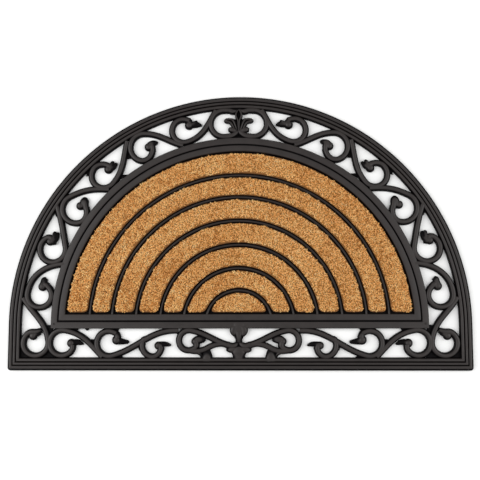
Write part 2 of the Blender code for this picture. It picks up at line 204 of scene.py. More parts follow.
def coirRoots():
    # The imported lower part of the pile: the same fibre in shade, darker and felted
    material, tree, shader = newMaterial("coirRoots")
    place = addNode(tree, "ShaderNodeTexCoord").outputs["Object"]
    felt = addNode(
        tree, "ShaderNodeTexNoise", {"Scale": rootsFinish["feltScale"], "Detail": 3.0}, {"Vector": place})
    ramp = addNode(tree, "ShaderNodeValToRGB", {}, {"Fac": felt.outputs["Fac"]})
    colourStops(ramp, rootsFinish["felt"])
    bump = addNode(
        tree, "ShaderNodeBump", {"Strength": rootsFinish["feltStrength"],
        "Distance": rootsFinish["feltDepth"] * mm}, {"Height": felt.outputs["Fac"]})
    tree.links.new(ramp.outputs["Color"], shader.inputs["Base Color"])
    tree.links.new(bump.outputs["Normal"], shader.inputs["Normal"])
    shader.inputs["Roughness"].default_value = rootsFinish["roughness"]
    return material


rubber = mouldedRubber()
strands = coirStrands()
roots = coirRoots()
print("materials ready")

# rubber moulding


def finishPiece(name, bm, materials, smoothAngle=35.0):
    mesh = bpy.data.meshes.new(name)
    bm.to_mesh(mesh)
    bm.free()
    for material in materials:
        mesh.materials.append(material)
    mesh.shade_smooth()
    mesh.set_sharp_from_angle(angle=math.radians(smoothAngle))
    piece = bpy.data.objects.new(name, mesh)
    bpy.context.scene.collection.objects.link(piece)
    return piece


ribFullness = 2.4  # 2 would be half an ellipse, more is flatter on top


def roundedRib(inset, width, low, high, points=7):
    # a rib's crown as points of (inset, height), left out at both ends
    crown = []
    for i in range(1, points):
        across = i / points
        rise = (1 - abs(2 * across - 1) ** ribFullness) ** 0.5
        crown.append((inset + width * across, low + (high - low) * rise))
    return crown


# Sections are rows of (inset from the outer edge, height over the floor), ribs are rows of
# (inset, width, height at the groove, height of the crown)
rimShape = {
    "flank": ((0.0, 0.0), (0.0, 3.2), (0.5, 4.5), (1.5, 5.3), (2.7, 5.7)),
    "ribs": ((2.8, 5.4, 5.9, 8.6), (8.6, 5.0, 5.4, 9.0), (14.0, 6.0, 5.2, 8.7)),
    "grooves": ((8.4, 4.4), (13.8, 4.4)),
    "inner": ((20.2, 4.4), (21.0, 3.0), (21.0, 0.0)),
    "startAngle": 0.5,
    "arcSteps": 150,
    "sideSteps": 4,
    "cornerRadius": 5.2,
    "cornerSteps": 6,
}
frameShape = {
    "radius": 305.5,
    "base": 67.2,
    "outer": ((0.0, 0.0), (0.0, 6.4), (0.35, 7.3), (0.9, 7.85), (1.5, 7.95), (5.5, 8.1), (9.4, 8.4),
              (10.0, 8.35), (10.5, 7.9)),
    "groove": ((10.9, 6.3), (11.5, 5.9), (12.4, 5.9), (12.9, 6.4)),
    "inner": ((13.3, 8.4), (13.8, 8.9), (14.5, 9.02), (18.0, 9.15), (21.4, 9.38), (22.1, 9.3), (22.8, 8.8),
              (23.4, 7.0), (24.0, 4.0), (24.4, 0.0)),
    "startAngle": 4.0,
    "arcSteps": 140,
    "sideSteps": 4,
    "cornerRadius": 0.0,
    "cornerSteps": 0,
}


def rimSection():
    first, second, third = rimShape["ribs"]
    grooves = rimShape["grooves"]
    section = list(rimShape["flank"])
    section += roundedRib(*first) + [grooves[0]] + roundedRib(*second) + [grooves[1]]
    section += roundedRib(*third) + list(rimShape["inner"])
    return section


def halfRoundMoulding(bm, section, radius, shape, base):
    # the section stands at the right of the arch, is spun over it, runs down both sides, round the
    # lower corners, and is bridged along the straight edge
    start = math.radians(shape["startAngle"])
    verts = []
    for inset, height in section:
        reach = radius - inset
        verts.append(bm.verts.new(at(reach * math.cos(start), archY + reach * math.sin(start), height)))
    ring = [bm.edges.new((a, b)) for a, b in zip(verts, verts[1:] + verts[:1])]
    spun = bmesh.ops.spin(
        bm, geom=verts + ring, cent=at(0, archY, 0), axis=(0, 0, 1), angle=math.pi - 2 * start,
        steps=shape["arcSteps"], use_merge=False)
    lastVerts = [v for v in spun["geom_last"] if isinstance(v, bmesh.types.BMVert)]
    lastEdges = [e for e in spun["geom_last"] if isinstance(e, bmesh.types.BMEdge)]
    corner = shape["cornerRadius"]
    steps = shape["cornerSteps"]
    turns = [math.radians(90 * i / steps) for i in range(steps + 1)] if corner else []

    def stationsOf(inset):
        # plan points that one line of the section passes through, from the arch's end to the corner
        own = radius - inset
        top = archY + own * math.sin(start)
        left = max(corner - inset, 0)
        end = base + max(corner, inset)
        stations = []
        for step in range(1, shape["sideSteps"] + 1):
            y = top + (end - top) * step / shape["sideSteps"]
            stations.append((math.sqrt(own ** 2 - (y - archY) ** 2) if y > archY else own, y))
        for turn in turns:
            x, y = radius - corner + left * math.cos(turn), base + corner - left * math.sin(turn)
            stations.append((x, y) if left else (own, end))
        return stations

    ends = []
    for side, edges, ordered in ((1, ring, verts), (-1, lastEdges, lastVerts)):
        insets = {v: radius - math.hypot(v.co.x, v.co.y - at(0, archY, 0).y) / mm for v in ordered}
        stations = {v: stationsOf(inset) for v, inset in insets.items()}
        for step in range(len(next(iter(stations.values())))):
            made = bmesh.ops.extrude_edge_only(bm, edges=edges)["geom"]
            known = {}
            for v in made:
                if isinstance(v, bmesh.types.BMVert):
                    near = min(stations, key=lambda other: (other.co - v.co).length_squared)
                    known[v] = stations[near]
            for v, line in known.items():
                x, y = line[step]
                v.co = at(side * x, y, v.co.z / mm)
            stations = known
            edges = [e for e in made if isinstance(e, bmesh.types.BMEdge)]
            edges = [e for e in edges if e.verts[0] in known and e.verts[1] in known]
        ends += edges
    bmesh.ops.bridge_loops(bm, edges=ends)
    bmesh.ops.remove_doubles(bm, verts=bm.verts, dist=0.01 * mm)


# A scroll is a bar that starts at its bud, runs round its ring by its sweep and leaves as a stem
# for its end. Its radius eases from startRadius to radius, angles are degrees, minus is clockwise.
Scroll = namedtuple("Scroll", "name ringX ringY radius start sweep startRadius endX endY heading")
scrolls = (
    Scroll("crownC", -24.5, 405.0, 22.2, 84, 191, 22.2, -13, 384, 16),
    Scroll("archA", -90.8, 393.6, 20.0, 62, 227, 18.5, -38, 427, 60),
    Scroll("archB", -157.0, 365.8, 23.0, -15, -255, 15.2, -92, 368.5, -15),
    Scroll("archC", -223.4, 318.6, 20.4, 50, 272, 18.0, -185, 376, 76),
    Scroll("archD", -268.0, 263.0, 23.4, 12, -255, 16.5, -214, 295.5, -4),
    Scroll("archE", -305.5, 196.5, 21.3, 112, 258, 21.5, -300, 268, 108),
    Scroll("side", -325.5, 121.8, 20.4, 50, -238, 19.0, -286, 172.5, 3),
    Scroll("corner", -330.0, 44.2, 20.6, 122, 246, 20.0, -352, 117, 122),
    Scroll("baseA", -286.5, 44.3, 20.8, -42, -238, 20.0, -221, 22, -46),
    Scroll("baseB", -210.0, 43.4, 20.5, 55, 231, 19.5, -98, 64.0, -3),
    Scroll("baseC", -138.5, 40.2, 18.2, -10, -200, 13.6, -150, 50.5, 40),
    Scroll("baseD", -80.5, 48.2, 16.4, -45, -236, 15.4, -13, 39.6, -13),
)
# Low plates that close the narrow corners between the bars
# these plates lie low, where the rubber's painted shade makes them near black
Web = namedtuple("Web", "name aX aY bX bY cX cY")
webs = (
    Web("archAB", -119, 379, -106, 383, -100, 365),
    Web("archBC", -188, 376, -188, 346, -179, 347),
    Web("archCRim", -250, 334, -253, 318, -244, 320),
    Web("archCFrame", -205, 307, -193, 320.5, -182, 320.5),
    Web("archDE", -301, 261, -296, 238, -287, 241),
    Web("archERim", -333, 213, -325, 216, -334, 195),
    Web("archETop", -308, 264, -296, 264, -301, 250),
    Web("cornerLow", -358, 16, -336, 16, -358, 38),
    Web("baseLow", -325, 14, -295, 14, -309, 35),
    Web("baseHigh", -319, 73, -300, 73, -308, 53),
    Web("baseAFrame", -281, 71, -258, 71, -265, 58),
    Web("baseAB", -240, 50, -234, 50, -235, 34),
    Web("baseBFrame", -208, 71, -192, 71, -197, 61),
    Web("baseBRim", -205, 16, -183, 16, -192, 27),
    Web("baseBC", -167, 45, -157, 45, -161, 31),
    Web("crownFrame", -14, 379, 3, 379, 3, 390),
)
webHeight = 2.6
frameMark = {"x": -300.0, "y": 75.0, "radius": 2.1, "height": 9.0}  # ejector mark on the frame's corner
# A bud is a round head on the end of a bar
budHeight = 8.3
Bud = namedtuple("Bud", "name headX headY headRadius")
buds = (
    Bud("archA", -82.3, 402.6, 7.6),
    Bud("archB", -149.4, 366.4, 7.2),
    Bud("archC", -215.8, 329.3, 7.4),
    Bud("archD", -261.6, 268.4, 7.0),
    Bud("archE", -310.2, 209.6, 6.9),
    Bud("side", -321.0, 135.4, 7.4),
    Bud("corner", -334.6, 55.8, 7.3),
    Bud("baseA", -272.0, 43.8, 7.3),
    Bud("baseB", -198.1, 48.9, 7.8),
    Bud("baseC", -130.4, 39.8, 6.7),
    Bud("baseD", -70.6, 46.4, 6.6),
    Bud("crownTip", -21.0, 409.6, 3.7),
)
# Modelled strokes as rows of (x, y, half width) from root to tip, each pressed to its own height:
# first the buds' necks, leaves and lobes, then the two middle ornaments. A fullness under 1 gives
# the stroke a broader crown than a bar has. The flash is a nub that the mould left, on one side only.
# Strokes pressed lower than the bars, such as the leaves, lobes and the plates of the crown, come out
# darker in the rubber's painted shade
Stroke = namedtuple("Stroke", "name height fullness points")
sideStrokes = (
    Stroke("archANeck", 8.0, 1.0, ((-87, 411.8, 5.3), (-83, 409.6, 5.6), (-81.5, 405, 6.5))),
    Stroke("archALeaf", 7.5, 0.6, ((-81, 404, 5.9), (-74, 403.5, 5.1), (-67.5, 403.6, 4.5),
                                   (-61.5, 402.3, 1.5))),
    Stroke("archALobe", 7.3, 0.6, ((-77, 404, 3.9), (-71.5, 407, 3.5), (-68.2, 409, 2.5))),
    Stroke("archBNeck", 8.0, 1.0, ((-142.7, 359.5, 5.1), (-143.2, 366, 5.3), (-143.5, 371, 4.8))),
    Stroke("archBLeaf", 7.5, 0.6, ((-149, 368, 5.8), (-144.5, 371.5, 5.8), (-139.5, 373.2, 4.6),
                                   (-136.2, 373.4, 3.2), (-134.2, 373.2, 1.6))),
    Stroke("archCNeck", 8.0, 1.0, ((-219, 336.2, 5.3), (-214.3, 333.8, 5.7), (-211, 330.5, 5.2))),
    Stroke("archCLeaf", 7.5, 0.6, ((-214, 330.6, 5.9), (-208.5, 333.5, 5.2), (-204.3, 337.4, 3.3),
                                   (-201.8, 340, 1.4))),
    Stroke("archCLobe", 7.3, 0.6, ((-212.5, 333, 3.8), (-210.2, 338, 3.5), (-209, 341.5, 2.8),
                                   (-208.8, 343.4, 1.2))),
    Stroke("archCHeel", 7.3, 0.6, ((-212, 330, 4.5), (-208.3, 327.6, 3.0))),
    Stroke("archDNeck", 8.0, 1.0, ((-252.4, 262, 5.1), (-253, 269, 5.3), (-253.6, 275, 5.0))),
    Stroke("archDLeaf", 7.5, 0.6, ((-258, 266, 6.5), (-255.5, 272, 7.5), (-254.8, 277.2, 6.9),
                                   (-254.6, 281, 4.6), (-254.6, 283.2, 1.8))),
    Stroke("archENeck", 8.0, 1.0, ((-316.5, 215.2, 5.3), (-311.5, 216.2, 5.4), (-307, 214, 5.4))),
    Stroke("archELeaf", 7.5, 0.6, ((-308, 210.6, 6.5), (-302.3, 213.8, 5.6), (-299.2, 219, 3.9),
                                   (-298, 223, 2.6), (-297.4, 225, 1.1))),
    Stroke("archELobe", 7.3, 0.6, ((-305, 214, 4.1), (-303.4, 219.5, 3.6), (-302.9, 224, 3.2),
                                   (-302.8, 226.2, 1.4))),
    Stroke("archEHeel", 7.3, 0.6, ((-306, 209, 5.4), (-299.8, 208.2, 3.7))),
    Stroke("sideNeck", 8.0, 1.0, ((-311, 133.5, 5.1), (-314.8, 138, 5.4), (-319.5, 139, 5.0))),
    Stroke("sideLeaf", 7.5, 0.6, ((-320.8, 138, 5.8), (-319.8, 142.5, 4.9), (-318.9, 146.5, 4.9),
                                  (-318.5, 149.6, 3.3), (-318.4, 151.4, 1.3))),
    Stroke("sideLobe", 7.3, 0.6, ((-318.5, 141, 3.7), (-316, 145, 3.0), (-313.6, 147.8, 1.6))),
    Stroke("cornerNeck", 8.0, 1.0, ((-344, 58.8, 5.3), (-338, 61.8, 5.3), (-330, 62.0, 5.2),
                                    (-321, 64.6, 4.5))),
    Stroke("cornerLeaf", 7.5, 0.6, ((-341.5, 57.6, 2.4), (-334.5, 57.2, 5.0), (-328, 58.6, 4.4),
                                    (-322.5, 60.6, 2.4))),
    Stroke("baseANeck", 8.0, 1.0, ((-273.5, 29.2, 5.2), (-269.9, 34, 5.2), (-269.3, 41, 5.4))),
    Stroke("baseALeaf", 7.5, 0.6, ((-271.5, 43.8, 6.8), (-265, 45.4, 4.9), (-260, 45, 4.5),
                                   (-255.6, 43.2, 2.9), (-252, 42.2, 1.1))),
    Stroke("baseBNeck", 8.0, 1.0, ((-203, 61.6, 5.3), (-198.4, 58.6, 5.4), (-196.5, 52, 6.3))),
    Stroke("baseBLeaf", 7.5, 0.6, ((-197, 48, 7.0), (-190.5, 46.6, 5.2), (-184.5, 46, 4.0),
                                   (-180.2, 45.8, 3.0), (-178, 45.8, 1.3))),
    Stroke("baseCNeck", 8.0, 1.0, ((-127, 31, 5.2), (-126.2, 36.5, 5.4), (-128, 41, 5.2))),
    Stroke("baseCLeaf", 7.5, 0.6, ((-130, 40.2, 6.2), (-123, 42.2, 4.4), (-117, 41.9, 3.9),
                                   (-112.8, 40.9, 2.6), (-109.8, 40.2, 1.1))),
    Stroke("baseDNeck", 8.0, 1.0, ((-72, 35.2, 5.2), (-68.6, 39.5, 5.6), (-69.2, 45, 5.8))),
    Stroke("baseDLeaf", 7.5, 0.6, ((-70.5, 46.5, 6.6), (-66, 49.2, 7.0), (-60.5, 49.6, 6.2),
                                   (-56.2, 49.6, 4.6), (-53.6, 49.6, 2.2))),
    Stroke("crownTop", 8.0, 1.0, ((-25, 427.2, 5.1), (-16, 427, 5.1), (-10, 425.2, 5.1), (-4.5, 426, 4.5),
                                  (0, 429, 3.9))),
    Stroke("crownFoot", 8.0, 1.0, ((-22.6, 382.9, 5.3), (-13, 384, 5.3), (-5.5, 387.8, 5.1),
                                   (0, 393, 4.3))),
    Stroke("crownLens", 9.0, 1.0, ((0, 427.6, 1.5), (-3.3, 423.8, 1.9), (-4.6, 418.6, 2.0),
                                   (-3.2, 413.6, 1.9), (-1.2, 409.6, 1.8), (-0.9, 403, 1.7),
                                   (-0.4, 393, 1.5))),
    Stroke("crownBody", 4.8, 1.0, ((-22, 409.4, 3.9), (-15.5, 409.4, 4.9), (-10, 407.6, 6.2),
                                   (-6.8, 401, 5.6), (-3.5, 392, 4.6))),
    Stroke("crownFill", 4.4, 1.0, ((-9.5, 410.6, 2.6), (-6, 409, 3.6), (-3.2, 404, 3.4),
                                   (-1.5, 397, 2.4))),
    Stroke("crownUpper", 8.5, 1.0, ((-21.5, 411.4, 2.5), (-15.5, 411.8, 2.5), (-10.6, 410.6, 2.4),
                                    (-7.5, 406.2, 2.3), (-5.1, 399.6, 2.2), (-2.4, 392, 1.9))),
    Stroke("crownLower", 8.0, 1.0, ((-21.5, 407.8, 2.4), (-16.2, 407.4, 2.4), (-12.2, 404.6, 2.3),
                                    (-9.2, 399.6, 2.2), (-6.4, 393, 2.0))),
    Stroke("crownLeaf", 7.8, 0.7, ((-4, 391.3, 4.2), (-9.5, 393.8, 5.0), (-14, 394.6, 4.7),
                                   (-17.4, 394.4, 2.6))),
    Stroke("footEar", 8.6, 0.7, ((-2.5, 71, 5.2), (-8.2, 66.5, 6.0), (-8.6, 61.5, 5.4), (-5.2, 56, 3.7))),
    Stroke("footArmEnd", 8.3, 1.0, ((-19, 41.8, 5.3), (-12, 39.2, 5.3), (-6, 40.4, 5.0), (-2, 44.2, 4.1),
                                    (0, 48.5, 3.0))),
    Stroke("footArm", 8.1, 1.0, ((-80.5, 32.2, 5.0), (-72, 31.2, 5.1), (-63, 31.6, 5.1), (-55, 34.0, 5.1),
                                 (-47, 38.2, 5.0), (-39, 41.2, 4.9), (-31, 42.2, 4.6), (-24, 41.4, 4.4),
                                 (-17, 38.6, 4.4))),
    Stroke("footLeaf", 7.8, 0.7, ((-2, 33, 5.0), (-9, 33.6, 5.6), (-15, 33.4, 5.0), (-18.6, 33.2, 3.6),
                                  (-20.6, 33, 1.6))),
    Stroke("footPost", 8.0, 0.7, ((-51.6, 15, 9.8), (-51.4, 21, 9.2), (-51.4, 27, 7.5), (-52, 34, 5.4))),
    Stroke("footFillet", 7.6, 1.0, ((-58.5, 18, 2.6), (-59.6, 22.5, 2.8), (-62.5, 26.8, 3.2),
                                    (-67, 29.8, 3.6))),
)
middleStrokes = (
    Stroke("flash", 6.0, 1.0, ((-249.5, 67.4, 1.2), (-246.6, 66.4, 2.4), (-243.8, 67.4, 1.2))),
    Stroke("lensFloor", 4.2, 1.0, ((0, 427, 1.5), (0, 421, 3.8), (0, 415.5, 3.4), (0, 409.6, 1.5))),
    Stroke("footKnob", 7.9, 0.7, ((0, 76, 14), (0, 66, 13.6), (0, 60, 12.0), (0, 55.5, 8.6),
                                  (0, 51, 6.4))),
    Stroke("footWaist", 8.3, 1.0, ((0, 62, 7.4), (0, 55, 6.4), (0, 50, 5.8), (0, 45.5, 5.6))),
    Stroke("footBase", 8.1, 0.7, ((0, 41.5, 4.0), (0, 36, 10.5), (0, 30, 12.6), (0, 25.5, 11.0),
                                  (0, 21, 9.8), (0, 15, 9.8))),
)
barShape = {
    "section": ((5.35, 0.0), (5.25, 2.6), (4.8, 4.4), (3.95, 6.0), (3.0, 7.15), (2.0, 7.85), (0.9, 8.15)),
    "crown": 8.25,
    "ringStep": 6.0,  # degrees
    "stemStep": 2.5,
    "stemReach": 0.40,
    "easeIn": 90.0,  # degrees of the ring over which its radius grows to full
    "footStep": 0.01,  # each bar's foot stands this much above the last, so that none lie flush
    "smoothing": 5,  # steps between two given points of a modelled stroke
}


def scrollPath(scroll):
    steps = max(4, round(abs(scroll.sweep) / barShape["ringStep"]))
    path = []
    for i in range(steps + 1):
        turned = scroll.sweep * i / steps
        share = min(abs(turned) / barShape["easeIn"], 1.0)
        growth = share * share * (3 - 2 * share)
        radius = scroll.startRadius + (scroll.radius - scroll.startRadius) * growth
        angle = math.radians(scroll.start + turned)
        path.append(Vector(
            (scroll.ringX + radius * math.cos(angle), scroll.ringY + radius * math.sin(angle))))
    way = 1 if scroll.sweep > 0 else -1
    leave = math.radians(scroll.start + scroll.sweep + 90 * way)
    arrive = math.radians(scroll.heading)
    first, last = path[-1], Vector((scroll.endX, scroll.endY))
    reach = barShape["stemReach"] * (last - first).length
    pull = first + reach * Vector((math.cos(leave), math.sin(leave)))
    push = last - reach * Vector((math.cos(arrive), math.sin(arrive)))
    steps = max(3, round((last - first).length / barShape["stemStep"]))
    for i in range(1, steps + 1):
        t = i / steps
        u = 1 - t
        path.append(first * u ** 3 + pull * 3 * t * u * u + push * 3 * t * t * u + last * t ** 3)
    return path


def sectionCurve(name, halfSection, crown):
    # a bar's cross-section, half of it given from foot to crown
    line = bpy.data.curves.new(name, "CURVE")
    line.dimensions = "2D"
    spline = line.splines.new("POLY")
    points = list(halfSection) + [(0.0, crown)] + [(-x, z) for x, z in reversed(halfSection)]
    spline.points.add(len(points) - 1)
    for point, (x, z) in zip(spline.points, points):
        point.co = (x * mm, z * mm, 0, 1)
    spline.use_cyclic_u = True
    holder = bpy.data.objects.new(name, line)
    bpy.context.scene.collection.objects.link(holder)
    return holder


weldGap = 0.001  # points this near in mm are one


def sweepStrokes(bm, strokes, section):
    # strokes are (points, radii, foot height); a radius of 1 is the full section
    line = bpy.data.curves.new("strokes", "CURVE")
    line.dimensions = "3D"
    line.twist_mode = "Z_UP"
    line.bevel_mode = "OBJECT"
    line.bevel_object = section
    line.use_fill_caps = True
    for points, radii, foot in strokes:
        spline = line.splines.new("POLY")
        spline.points.add(len(points) - 1)
        for point, (x, y), radius in zip(spline.points, points, radii):
            point.co = (*at(x, y, foot), 1)
            point.radius = radius
    holder = bpy.data.objects.new("strokes", line)
    bpy.context.scene.collection.objects.link(holder)
    graph = bpy.context.evaluated_depsgraph_get()
    swept = bpy.data.meshes.new_from_object(holder.evaluated_get(graph), depsgraph=graph)
    # the end caps come loose from the sweep: welded on, they close each bar's skin
    skin = bmesh.new()
    skin.from_mesh(swept)
    bmesh.ops.remove_doubles(skin, verts=skin.verts, dist=weldGap * mm)
    bmesh.ops.recalc_face_normals(skin, faces=skin.faces)
    skin.to_mesh(swept)
    skin.free()
    known = len(bm.verts)
    bm.from_mesh(swept)
    bpy.data.objects.remove(holder, do_unlink=True)
    bpy.data.meshes.remove(swept)
    bm.verts.ensure_lookup_table()
    return bm.verts[known:]


def smoothRow(rows, steps):
    # a smooth curve through the given rows, their last number eased along with them
    rows = [Vector(row) for row in rows]
    ends = [2 * rows[0] - rows[1]] + rows + [2 * rows[-1] - rows[-2]]
    smooth = []
    for before, start, end, after in zip(ends, ends[1:], ends[2:], ends[3:]):
        for i in range(steps):
            t = i / steps
            smooth.append(0.5 * (
                2 * start + (end - before) * t + (2 * before - 5 * start + 4 * end - after) * t ** 2
                + (3 * start - before - 3 * end + after) * t ** 3))
    return smooth + [rows[-1]]


def sweepModelled(bm, stroke, side, foot, section):
    # the section grows and shrinks along the stroke, which is then pressed to its own height
    path = smoothRow(stroke.points, barShape["smoothing"])
    points = [Vector((p.x * side, p.y)) for p in path]
    radii = [p.z / barShape["section"][0][0] for p in path]
    made = sweepStrokes(bm, [(points, radii, 0.0)], section)
    tall = max(v.co.z for v in made)
    for v in made:
        v.co.z = foot * mm + stroke.height * mm * max(v.co.z / tall, 0) ** stroke.fullness


def domedHead(bm, x, y, radius, height, foot):
    ball = bmesh.ops.create_uvsphere(bm, u_segments=24, v_segments=12, radius=radius * mm)["verts"]
    head = [v for v in ball if v.co.z > -weldGap * mm]
    bmesh.ops.delete(bm, geom=[v for v in ball if v.co.z <= -weldGap * mm], context="VERTS")
    rim = list(dict.fromkeys(e for v in head for e in v.link_edges if e.is_boundary))
    bmesh.ops.edgeloop_fill(bm, edges=rim)
    bmesh.ops.scale(bm, verts=head, vec=(1, 1, height / radius))
    bmesh.ops.translate(bm, verts=head, vec=at(x, y, foot))


def plainPlate(bm, corners, low, high):
    face = bm.faces.new([bm.verts.new(at(x, y, low)) for x, y in corners])
    lifted = bmesh.ops.extrude_face_region(bm, geom=[face], use_keep_orig=True)["geom"]
    bmesh.ops.translate(
        bm, verts=[v for v in lifted if isinstance(v, bmesh.types.BMVert)], vec=(0, 0, (high - low) * mm))


ridgeShape = {
    "radii": (242.2, 206.0, 167.0, 127.7, 89.6, 53.7),
    "foot": 2.6,
    "crown": 8.6,
    "section": ((2.6, 2.0), (2.4, 3.8), (2.1, 6.0), (1.6, 7.6), (0.9, 8.35)),
    "step": 4.0,
    "letIn": 3.0,  # how far each end runs into the frame's straight bar
}
trayShape = {"lift": 0.03, "thickness": 3.0, "lap": 3.0, "steps": 90}


def buildRubberMat():
    bm = bmesh.new()
    halfRoundMoulding(bm, rimSection(), archRadius, rimShape, 0.0)
    frameSection = frameShape["outer"] + frameShape["groove"] + frameShape["inner"]
    halfRoundMoulding(bm, frameSection, frameShape["radius"], frameShape, frameShape["base"])
    bmesh.ops.recalc_face_normals(bm, faces=bm.faces)
    print("rim and frame", len(bm.faces), "faces")

    # tray under the coir
    width = frameShape["inner"][-1][0]
    reach = frameShape["radius"] - width + trayShape["lap"]
    base = frameShape["base"] + width - trayShape["lap"]
    low = math.asin((base - archY) / reach)
    steps = trayShape["steps"]
    angles = [low + (math.pi - 2 * low) * i / steps for i in range(steps + 1)]
    plainPlate(
        bm, [(reach * math.cos(a), archY + reach * math.sin(a)) for a in angles], trayShape["lift"],
        trayShape["thickness"])

    # ridges between the coir fields
    ridgeSection = sectionCurve("ridgeSection", ridgeShape["section"], ridgeShape["crown"])
    strokes = []
    for radius in ridgeShape["radii"]:
        low = math.asin((frameShape["base"] + width - ridgeShape["letIn"] - archY) / radius)
        steps = round(math.pi * radius / ridgeShape["step"])
        angles = [low + (math.pi - 2 * low) * i / steps for i in range(steps + 1)]
        points = [Vector((radius * math.cos(a), archY + radius * math.sin(a))) for a in angles]
        strokes.append((points, [1.0] * len(points), 0.0))
    sweepStrokes(bm, strokes, ridgeSection)
    bpy.data.objects.remove(ridgeSection, do_unlink=True)
    print("tray and ridges", len(bm.faces), "faces")

    # scrolls and modelled strokes, mirrored to the right
    barSection = sectionCurve("barSection", barShape["section"], barShape["crown"])
    strokes = []
    foot = 0.0
    for side in (1, -1):
        for scroll in scrolls:
            foot += barShape["footStep"]
            points = [Vector((p.x * side, p.y)) for p in scrollPath(scroll)]
            strokes.append((points, [1.0] * len(points), foot))
    sweepStrokes(bm, strokes, barSection)
    for side, table in ((1, sideStrokes), (-1, sideStrokes), (1, middleStrokes)):
        for stroke in table:
            foot += barShape["footStep"]
            sweepModelled(bm, stroke, side, foot, barSection)
    bpy.data.objects.remove(barSection, do_unlink=True)
    print("scrolls and strokes", len(bm.faces), "faces")

    for side in (1, -1):
        for bud in buds:
            foot += barShape["footStep"]
            domedHead(bm, bud.headX * side, bud.headY, bud.headRadius, budHeight - foot / 2, foot)
        for web in webs:
            foot += barShape["footStep"]
            corners = [(web.aX * side, web.aY), (web.bX * side, web.bY), (web.cX * side, web.cY)]
            plainPlate(bm, corners, foot, webHeight)
        foot += barShape["footStep"]
        domedHead(bm, frameMark["x"] * side, frameMark["y"], frameMark["radius"], frameMark["height"], foot)
    bmesh.ops.recalc_face_normals(bm, faces=bm.faces)
    piece = finishPiece("rubberMat", bm, [rubber], rubberFinish["smoothAngle"])
    print("rubber mat", sum(len(p.vertices) - 2 for p in piece.data.polygons), "triangles")
    return piece


rubberMat = buildRubberMat()
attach(rubberMat, "root")
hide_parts("rubber_mat")

# coir

coirShape = {
    "floor": 3.3,
    "bodyTop": 11.3,
    "bodyShoulder": 3.4,
    "pileTop": 14.3,
    "pileDip": 0.4,  # mm from there to the middle of the tufts' heights
    "clearance": 0.3,  # mm to the ridges
    "frameGap": 1.0,  # mm to the frame's arch
    "baseGap": 0.7,  # mm to the frame's straight bar
    "corner": 8.0,
    "tuftSpacing": 2.15,  # mm between the tufts
    "rowPitch": 0.87,  # of the spacing, the rows of tufts are staggered
    "strewn": 0.36,  # of the spacing that a tuft stands off its place
    "tuftStrands": 8,
    "tuftSpread": 1.25,  # mm, how far a tuft's strands root from its middle
    "tuftDrawn": 0.45,  # share of that spread left at the tips
    "tuftCrown": 0.25,  # mm that a tuft's outer strands end below its middle
    "strandWidth": 0.86,  # mm, twice a real strand, so that single ones show
    "widthRange": (0.8, 1.25),
    "shownLength": 2.3,
    "lengthRange": (0.8, 1.1),
    "tuftLean": 1.2,  # mm
    "strandLean": 1.5,  # mm
    "bodySetBack": 1.2,  # mm from a field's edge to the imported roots
    "setBack": 2.3,  # mm from a field's edge to the middle of its outermost tufts
    "wander": 0.8,  # mm that a field's edge wanders in and out
    "wanderWave": 36.0,  # mm
    "raggedDepth": 1.0,  # mm of the edge where tufts are missing here and there
    "raggedWave": 13.0,  # mm
    "raggedShare": 0.42,
    "splay": 0.9,  # mm that the outermost tufts lean out over the ridges
    "splayLeast": 0.3,  # share of it where the edge is sound
    "splayFrom": 1.5,  # mm from the edge, from where the splay fades inwards
    "splayFade": 4.0,  # mm
    "edgeDrop": (1.6, 0.9),  # mm that the pile falls at the edge, and more where it is ragged
    "lumpWave": 9.0,  # mm
    "lumpHeight": 0.3,  # mm
    "tuftUneven": 0.35,  # mm
    "strandUneven": 0.28,  # mm
    "toneWave": 11.0,  # mm
    "toneWaveShift": 0.08,
    "tuftTone": 0.11,  # spread of shade from tuft to tuft
    "strandTone": 0.12,  # and from strand to strand
    "huskShare": 0.02,  # of the tufts are bits of dark husk
    "huskTone": 0.3,
    "rootShade": 0.1,  # the root of each strand is painted darker, painted shade deep in the pile
    "seed": 41,
}
fieldBase = frameShape["base"] + frameShape["inner"][-1][0] + coirShape["baseGap"]


def fieldRadii():
    margin = ridgeShape["foot"] + coirShape["clearance"]
    outer = frameShape["radius"] - frameShape["inner"][-1][0] - coirShape["frameGap"]
    spans = []
    for ridge in ridgeShape["radii"]:
        spans.append((outer, ridge + margin))
        outer = ridge - margin
    spans.append((outer, 0.0))
    return spans


def outlineOf(outer, inner, margin=0.0, step=4.0):
    # plan outline of one field, drawn in by the margin, its lower corners rounded
    corner = coirShape["corner"]
    base = fieldBase + margin
    outer -= margin

    def arc(radius, low):
        count = max(8, round(radius * (math.pi - 2 * low) / step))
        angles = [low + (math.pi - 2 * low) * i / count for i in range(count + 1)]
        return [Vector((radius * math.cos(a), archY + radius * math.sin(a))) for a in angles]

    def rounded(point, before, after):
        start = point + (before - point).normalized() * corner
        end = point + (after - point).normalized() * corner
        return [start.lerp(point, t).lerp(point.lerp(end, t), t) for t in (0.0, 0.2, 0.4, 0.6, 0.8, 1.0)]

    outerArc = arc(outer, math.asin((base + corner - archY) / outer))
    outerX = math.sqrt(outer ** 2 - (base - archY) ** 2)
    if inner == 0:
        left = rounded(Vector((-outerX, base)), outerArc[-1], Vector((0, base)))
        return outerArc[1:-1] + left + [Vector((-p.x, p.y)) for p in reversed(left)]
    inner += margin
    innerArc = arc(inner, math.asin((base + corner - archY) / inner))[::-1]
    innerX = math.sqrt(inner ** 2 - (base - archY) ** 2)
    middle = Vector((-(outerX + innerX) / 2, base))
    left = rounded(Vector((-outerX, base)), outerArc[-1], middle)
    left += rounded(Vector((-innerX, base)), middle, innerArc[0])
    return outerArc[1:-1] + left + innerArc[1:-1] + [Vector((-p.x, p.y)) for p in reversed(left)]


